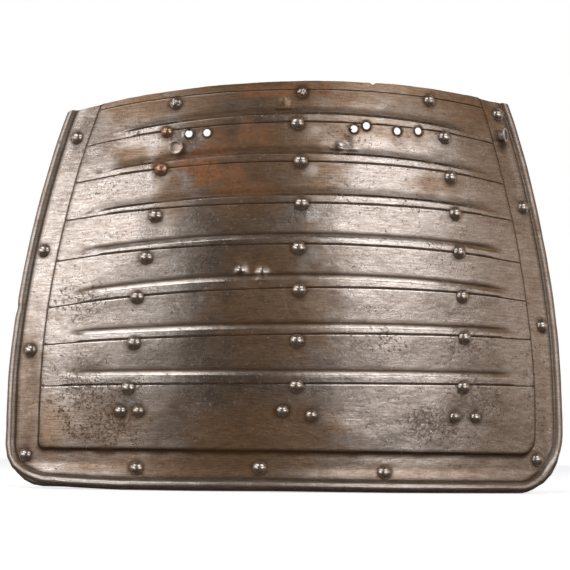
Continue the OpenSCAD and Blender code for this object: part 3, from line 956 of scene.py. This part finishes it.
def stud_rings():
    """Collar, neck, flat head and its dish, from the sheet up."""
    under = 0.12 + STUD_NECK_UP
    top = under + STUD_THICK
    collar_r = TAIL_R - 0.03
    dish_r = STUD_HEAD - STUD_RIM
    return [
        (collar_r, 0.05), (collar_r, 0.6), (collar_r - 0.35, 0.95), (STUD_NECK, COLLAR_UP),
        (STUD_NECK, under - 0.1), (STUD_NECK + 0.4, under), (STUD_HEAD - 0.35, under + 0.05),
        (STUD_HEAD - 0.02, under + 0.45), (STUD_HEAD - 0.05, top - 0.45), (STUD_HEAD - 0.4, top - 0.06),
        (dish_r + 0.2, top - 0.05), (dish_r - 0.2, top - STUD_DISH), (1.2, top - STUD_DISH - 0.05),
    ]


def make_stud(name, seat, bend, finish, seed):
    """A flat-headed stud: collar, neck and dished head. A blow has bent the right one outwards."""
    piece = round_piece(f"worn_{name}", stud_rings())
    # Painted shade: up the bent right stud's neck and over its dished face, which is turned from the light, and
    # only a little in the left stud's dish
    paint_foot_shade(piece, 3.3 if bend else 1.8, 1.0 if bend else 0.12)
    pivot = Matrix.Translation((0, 0, COLLAR_UP * MM))
    tilt = pivot @ Matrix.Rotation(math.radians(-bend), 4, "X") @ pivot.inverted()
    for v in piece.data.vertices:
        if v.co.z > 1.1 * MM:
            v.co = tilt @ v.co
            v.co.x += 0.1 * MM * noise.noise(v.co * 300 + Vector((seed, 0, 0)))
    piece.data.transform(seat_matrix(seat))
    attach(piece, "root")
    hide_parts(name)
    cover(piece, finish)


# Finishes
class Value:
    """A shader socket that can be reckoned with: an expression on values adds its Math nodes."""

    def __init__(self, finish, socket):
        self.finish, self.socket = finish, socket

    def _math(self, operation, a, b):
        return self.finish.node("Math", {"operation": operation}, {0: a, 1: b})

    def __add__(self, other):
        return self._math("ADD", self, other)

    def __radd__(self, other):
        return self._math("ADD", other, self)

    def __sub__(self, other):
        return self._math("SUBTRACT", self, other)

    def __mul__(self, other):
        return self._math("MULTIPLY", self, other)

    def most(self, other):
        return self._math("MAXIMUM", self, other)


class Finish:
    """The nodes of a new material or world."""

    def __init__(self, block):
        block.use_nodes = True
        self.block, self.tree = block, block.node_tree
        self.tree.nodes.clear()

    def node(self, kind, settings=None, sockets=None, out=0):
        """Adds a node: its settings first, then the values or links of its sockets. Returns one output."""
        made = self.tree.nodes.new("ShaderNode" + kind)
        for name, value in (settings or {}).items():
            setattr(made, name, value)
        for key, value in (sockets or {}).items():
            socket = made.inputs[key]
            if isinstance(value, Value):
                self.tree.links.new(value.socket, socket)
            else:
                socket.default_value = (*value, 1) if socket.type == "RGBA" and len(value) == 3 else value
        return Value(self, made.outputs[out]) if made.outputs else None

    def along(self, stretch=(1, 1, 1)):
        """The piece's own map, stretched: x runs round the curve and y up, in tenths of a metre."""
        uv = self.node("UVMap", {"uv_map": "UVMap"})
        return self.node("VectorMath", {"operation": "MULTIPLY"}, {0: uv, 1: stretch})

    def inside(self):
        """Object coordinates in metres."""
        return self.node("TexCoord", out="Object")

    def noise(self, vector, scale, detail=4.0, rough=0.55, bent=0.0):
        sockets = {"Vector": vector, "Scale": scale, "Detail": detail, "Roughness": rough, "Distortion": bent}
        return self.node("TexNoise", None, sockets)

    def cells(self, vector, scale, feature="F1"):
        return self.node("TexVoronoi", {"feature": feature}, {"Vector": vector, "Scale": scale})

    def bent(self, vector, scale, amount):
        """A vector pushed about by noise."""
        push = self.node("TexNoise", None, {"Vector": vector, "Scale": scale, "Detail": 2.0}, out=1)
        push = self.node("VectorMath", {"operation": "SCALE"}, {0: push, "Scale": amount})
        return self.node("VectorMath", None, {0: vector, 1: push})

    def mask(self, name):
        return self.node("Attribute", {"attribute_name": name}, out=2)

    def band(self, value, low, high):
        """Eases a value from 0 at low to 1 at high."""
        sockets = {"Value": value, "From Min": low, "From Max": high}
        return self.node("MapRange", {"interpolation_type": "SMOOTHSTEP"}, sockets)

    def mix(self, factor, a, b):
        """Mixes two colours."""
        return self.node("Mix", {"data_type": "RGBA"}, {0: factor, 6: a, 7: b}, out=2)

    def coats(self, colour, *coats):
        """Lays coats over a colour, each a factor and the coat's own colour."""
        for factor, coat in coats:
            colour = self.mix(factor, colour, coat)
        return colour

    def bump(self, height, depth):
        """A bump from a height of 0 to 1, as deep as given in metres."""
        return self.node("Bump", None, {"Height": height, "Distance": depth, "Strength": 1.0})

    def metal(self, colour, rough, normal):
        sockets = {"Base Color": colour, "Metallic": 1.0, "Roughness": rough, "Normal": normal}
        return self.node("BsdfPrincipled", None, sockets)

    def film(self, colour, rough, normal=None):
        """A dull skin that isn't metal: rust, patina, dirt, and the dark film of painted shade."""
        sockets = {"Base Color": colour, "Metallic": 0.0, "Roughness": rough, "Specular IOR Level": 0.1}
        if normal is not None:
            sockets["Normal"] = normal
        return self.node("BsdfPrincipled", None, sockets)

    def layered(self, share_of_film, metal, film):
        """Metal under a film."""
        return self.node("MixShader", None, {0: share_of_film, 1: metal, 2: film})

    def end(self, surface, output="OutputMaterial"):
        self.node(output, None, {"Surface": surface})
        return self.block


def new_finish(name):
    return Finish(bpy.data.materials.new(name))


def plate_finish():
    """Old browned steel: brushed across, bright where it is burnished and along crests, partly as painted
    highlight, with patina, rust and scratches, and painted shade with dirt in grooves, along edges and round
    rivets.
    """
    f = new_finish("browned_plate_steel")
    flat = f.along()
    streaks = f.noise(f.along((0.7, 5.5, 1)), 9, 6, 0.74, 0.25)
    hatch = f.noise(f.along((14, 3, 1)), 9, 3, 0.6)
    marks = f.band(f.noise(f.along((1, 10, 1)), 13, 4, 0.7, 0.2), 0.43, 0.62)
    cloud = f.noise(flat, 3.2, 5, 0.6, 0.4)
    blotch = f.noise(flat, 8, 6, 0.62, 0.8)
    mottle = f.noise(flat, 20, 6, 0.65, 0.6)
    grain = f.noise(flat, 75, 4, 0.75)
    speck = f.noise(flat, 46, 5, 0.7, 0.5)

    broken = blotch * 0.3 + mottle * 0.5 + speck * 0.3 + f.mask("rust") * 0.26
    rust = f.mask("rust") * f.band(broken, 0.51, 0.82)
    patina = f.band(f.mask("patina") * 0.75 + cloud * 0.6 + blotch * 0.3, 0.5, 1.3)
    blued = f.mask("blued") * f.band(mottle, 0.35, 0.6)
    speckle = f.band(speck + f.mask("pits") * 0.12 + (cloud - 0.5) * 0.2, 0.61, 0.69)
    pit_cells = f.cells(f.bent(flat, 30, 0.01), 62)
    pits = f.band(f.mask("pits") * 0.34 + blotch * 0.12 - pit_cells, 0.02, 0.12)
    holes = (pits * f.band(mottle, 0.42, 0.56)).most(speckle * 0.6)
    strokes = f.cells(f.bent(f.along((1, 0.8, 1)), 9, 0.05), 17, "DISTANCE_TO_EDGE")
    nicks = f.band(strokes, 0.03, 0.0) * f.band(f.noise(flat, 13, 4, 0.7), 0.58, 0.66)
    # Painted shade and dirt: darkens grooves, creases, edges and rivet feet towards near black
    dirt = f.mask("dirt")
    # Polish and painted highlight: lighter metal with less film on burnished spots and crests
    polish_and_highlight = f.mask("burnished").most(f.mask("crest") * f.band(blotch, 0.25, 0.55))
    filed = f.band(streaks, 0.38, 0.62)
    fine = f.band(grain, 0.34, 0.66)
    specked = f.band(speck, 0.35, 0.65)

    colour = f.coats(
        (0.75, 0.708, 0.69),
        (patina, (0.52, 0.34, 0.20)),
        (filed * 0.5, (0.40, 0.31, 0.245)),
        (fine * 0.36, (0.40, 0.31, 0.245)),
        (f.band(hatch, 0.35, 0.65) * 0.18, (0.78, 0.745, 0.71)),
        (marks * 0.4, (0.27, 0.19, 0.13)),
        (f.band(mottle, 0.45, 0.7) * 0.28, (0.40, 0.28, 0.19)),
        (blued * 0.5, (0.28, 0.27, 0.29)),
        (rust * 0.8, f.mix(specked, (0.50, 0.25, 0.14), (0.28, 0.145, 0.085))),
        # polish and painted highlight
        (polish_and_highlight * 0.6, (0.80, 0.76, 0.73)),
        (holes * 0.75, (0.17, 0.125, 0.09)),
        # painted shade and dirt
        (dirt * 0.85, (0.085, 0.056, 0.036)),
        (nicks * 0.6, (0.85, 0.81, 0.78)),
    )
    rough = 0.22 + patina * 0.08 + rust * 0.16 + blotch * 0.10 + holes * 0.14
    rough = rough - polish_and_highlight * 0.06 + dirt * 0.10 + f.mask("roll") * 0.12
    height = streaks * 0.09 + hatch * 0.04 + grain * 0.12 + mottle * 0.5 + blotch * 0.9
    normal = f.bump(height - holes * 0.5 - nicks * 0.12, 0.0002)

    film_colour = f.coats(
        (0.24, 0.13, 0.056),
        (patina, (0.235, 0.104, 0.026)),
        (f.band(mottle, 0.4, 0.7) * 0.45, (0.09, 0.043, 0.017)),
        ((filed * 0.45).most(fine * 0.4).most(marks * 0.75), (0.06, 0.028, 0.011)),
        (rust, f.mix(specked, (0.30, 0.12, 0.05), (0.16, 0.068, 0.03))),
        # painted shade and dirt, and the pits
        ((dirt * 0.9).most(holes * 0.8), (0.032, 0.016, 0.007)),
    )
    film_share = 0.15 + patina * (marks * 0.12 + 0.27) + filed * 0.08 + fine * 0.08 + rust * 0.30
    film_share = film_share + dirt * 0.35 + holes * 0.3
    film_share = film_share - polish_and_highlight * 0.2 - f.mask("burnished") * 0.3 - nicks * 0.2
    return f.end(f.layered(film_share, f.metal(colour, rough, normal), f.film(film_colour, 0.6, normal)))


def small_steel_finish(name, colour, dull, film_colour, base_film, rough_from):
    """Filed and polished small pieces, darkened at the foot by painted shade and dirt, with light pitting."""
    f = new_finish(name)
    spot = f.noise(f.inside(), 420, 4, 0.6, 0.4)
    grain = f.noise(f.inside(), 1500, 3, 0.6)
    # The foot mask is painted shade and dirt, darkest at a head's foot and in the bent stud's dish
    foot = f.mask("foot")
    stain = f.band(spot, 0.46, 0.68)
    tone = f.coats(colour, (stain * 0.5, dull), (foot * 0.75, (0.12, 0.09, 0.07)))
    rough = rough_from + stain * 0.10 + foot * 0.2
    normal = f.bump(spot * 0.6 + grain * 0.15 - stain * 0.2, 0.00008)
    film_share = base_film + stain * 0.14 + foot * 0.4
    skin = f.mix(foot * 0.85, film_colour, (0.035, 0.021, 0.013))
    return f.end(f.layered(film_share, f.metal(tone, rough, normal), f.film(skin, 0.6, normal)))


# Small pieces: bright and dull colour of the metal, colour of the film and its least share, least roughness
SMALL_STEEL = (
    ("filed_rivet_steel", (0.76, 0.70, 0.65), (0.44, 0.34, 0.27), (0.26, 0.175, 0.12), 0.17, 0.25),
    ("dark_stud_steel", (0.84, 0.78, 0.73), (0.60, 0.52, 0.46), (0.55, 0.46, 0.40), 0.45, 0.24),
    ("pale_stud_steel", (0.78, 0.65, 0.57), (0.52, 0.37, 0.28), (0.32, 0.18, 0.11), 0.16, 0.32),
    ("rust_stained_steel", (0.72, 0.47, 0.35), (0.42, 0.23, 0.15), (0.29, 0.12, 0.06), 0.24, 0.28),
    ("edge_wire_iron", (0.30, 0.26, 0.23), (0.22, 0.16, 0.12), (0.12, 0.08, 0.05), 0.3, 0.5),
)

# Making the object
plate = lay_panel()
draw_out_border(plate)
punch_holes(plate)
deselect()
paint_plate(plate)
finish_plate(plate)
plate.data.materials.append(plate_finish())
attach(plate, "root")
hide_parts("tasset_plate")

for row in SMALL_STEEL:
    small_steel_finish(*row)
make_rivets()
make_stud("left_stud", seat_on(1, LEFT_STUD[0], BASE + LEFT_STUD[1]), 0, "pale_stud_steel", 5)
right_seat = seat_on(None, *beside_line(1, *RIGHT_STUD))
make_stud("right_stud", right_seat, RIGHT_STUD_BEND, "dark_stud_steel", 9)
cover(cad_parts["edge_wire"], "edge_wire_iron")

# The studio
CAMERA_AT = (-93.3, FRONT_Y - 900, 20)
YAW, PITCH, ROLLED = (math.radians(a) for a in (5.39, 6.38, 0.71))
LENS = 97.55


def stand_camera():
    """The camera low before the plate, a little to its left, looking slightly up."""
    forward = Vector((math.sin(YAW) * math.cos(PITCH), math.cos(YAW) * math.cos(PITCH), math.sin(PITCH)))
    level = Vector((math.cos(YAW), -math.sin(YAW), 0))
    upright = level.cross(forward)
    right = level * math.cos(ROLLED) + upright * math.sin(ROLLED)
    up = upright * math.cos(ROLLED) - level * math.sin(ROLLED)
    data = bpy.data.cameras.new("photo_camera")
    data.sensor_width, data.lens = 36, LENS
    data.clip_start, data.clip_end = 0.01, 50
    camera = bpy.data.objects.new("photo_camera", data)
    bpy.context.scene.collection.objects.link(camera)
    turned = Matrix((right, up, -forward)).transposed()
    camera.matrix_world = Matrix.LocRotScale(Vector(CAMERA_AT) * MM, turned, None)
    bpy.context.scene.camera = camera


# Brightness of the floor, and its lift that only the camera sees
PAPER, FLOOR_LIFT = 0.93, 0.46
# Tint of the dark cloths, and width of the level ones
BROWN, CLOTH_WIDE = (1, 0.66, 0.39), 3.6


def lay_floor():
    """A pale floor that keeps the object's shadow."""
    deselect()
    bpy.ops.mesh.primitive_plane_add(size=12)
    floor = new_piece("pale_floor")
    f = new_finish("pale_floor")
    paper = f.node("BsdfDiffuse", None, {"Color": (PAPER, PAPER, PAPER)})
    seen = f.node("LightPath")
    lift = f.node("Emission", None, {"Color": (1, 1, 1), "Strength": seen * FLOOR_LIFT})
    floor.data.materials.append(f.end(f.node("AddShader", None, {0: paper, 1: lift})))


def round_about(far, a, z):
    """A place at a distance and an angle round the plate, from straight before it."""
    return Vector((far * math.sin(a), -far * math.cos(a), z))


def part_way(low, high, part):
    return low + (high - low) * part


def seen_in_steel(screen, shade):
    """Covers a screen in dark brown cloth, and hides it from all but the steel's reflections."""
    f = new_finish(screen.name)
    screen.data.materials.append(f.end(f.film([shade * part for part in BROWN], 1.0)))
    screen.visible_camera = screen.visible_diffuse = screen.visible_shadow = False


def hang_screen(name, far, from_deg, to_deg, high, shade):
    """A curved dark screen round the object, from the floor up."""
    deselect()
    bpy.ops.mesh.primitive_grid_add(x_subdivisions=24, y_subdivisions=1, size=1)
    screen = new_piece(name)
    for v in screen.data.vertices:
        a = math.radians(part_way(from_deg, to_deg, v.co.x + 0.5))
        v.co = round_about(far, a, high * (v.co.y + 0.5))
    seen_in_steel(screen, shade)


def lay_cloth(name, near_y, far_y, z, shade):
    """A level dark cloth before the object."""
    deselect()
    bpy.ops.mesh.primitive_plane_add(size=1)
    cloth = new_piece(name)
    for v in cloth.data.vertices:
        v.co = (v.co.x * CLOTH_WIDE, part_way(near_y, far_y, v.co.y + 0.5), z)
    seen_in_steel(cloth, shade)


# Soft lights round the plate: from and to in degrees round it, from and to in metres up, and radiance
SOFTBOXES = (
    ("left_softbox", -82, -59, 0.335, 0.55, 3.4), ("left_inner_softbox", -59, -37, 0.22, 0.50, 3.1),
    ("left_under_light", -76, -59, 0.12, 0.335, 0.55), ("left_high_softbox", -78, -18, 1.05, 1.75, 2.6),
    ("left_low_light", -42, -28, 0.01, 0.20, 0.9), ("left_side_light", -128, -84, 0.26, 0.8, 0.6),
    ("right_edge_light", 6, 18, 0.20, 0.50, 1.1), ("right_softbox", 18, 36, 0.22, 0.50, 3.3),
    ("right_outer_softbox", 36, 54, 0.22, 0.50, 2.4), ("right_low_light", 20, 46, 0.04, 0.22, 1.1),
    ("right_side_light", 54, 100, 0.16, 0.50, 0.45), ("right_high_softbox", 14, 58, 1.05, 1.75, 2.3),
)
SOFTBOX_FAR = 1.45


def hang_softbox(name, from_deg, to_deg, low, high, radiance):
    """A soft light turned to the plate. Its power follows from how bright its face is to look."""
    wide = 2 * SOFTBOX_FAR * math.tan(math.radians(to_deg - from_deg) / 2)
    data = bpy.data.lights.new(name, "AREA")
    data.shape, data.size, data.size_y = "RECTANGLE", wide, high - low
    data.energy = radiance * math.pi * wide * (high - low)
    lamp = bpy.data.objects.new(name, data)
    bpy.context.scene.collection.objects.link(lamp)
    lamp.location = round_about(SOFTBOX_FAR, math.radians((from_deg + to_deg) / 2), (low + high) / 2)
    inward = Vector((-lamp.location.x, -lamp.location.y, 0))
    lamp.rotation_euler = inward.to_track_quat("-Z", "Y").to_euler()


DIFFUSE_SKY = 0.45


def light_world():
    """A sky of full white where it is seen or mirrored, and dimmer where it only lights."""
    f = Finish(bpy.data.worlds.new("white_studio"))
    strength = DIFFUSE_SKY
    for ray in ("Is Camera Ray", "Is Glossy Ray", "Is Transmission Ray"):
        strength = f.node("LightPath", out=ray).most(strength)
    white = f.node("Background", None, {"Color": (1, 1, 1), "Strength": strength})
    bpy.context.scene.world = f.end(white, "OutputWorld")


stand_camera()
lay_floor()
light_world()
hang_screen("grey_wall", 1.7, -178, 54, 1.8, 0.20)
hang_screen("right_wall", 1.7, 54, 178, 1.8, 0.34)
hang_screen("dark_curtain", 1.6, -39, 12, 1.8, 0.03)
lay_cloth("dark_cloth", 0.12, -1.75, 0.0006, 0.03)
lay_cloth("dark_ceiling", 0.5, -1.8, 1.8, 0.03)
for row in SOFTBOXES:
    hang_softbox(*row)
bpy.context.scene.view_settings.view_transform = "Standard"
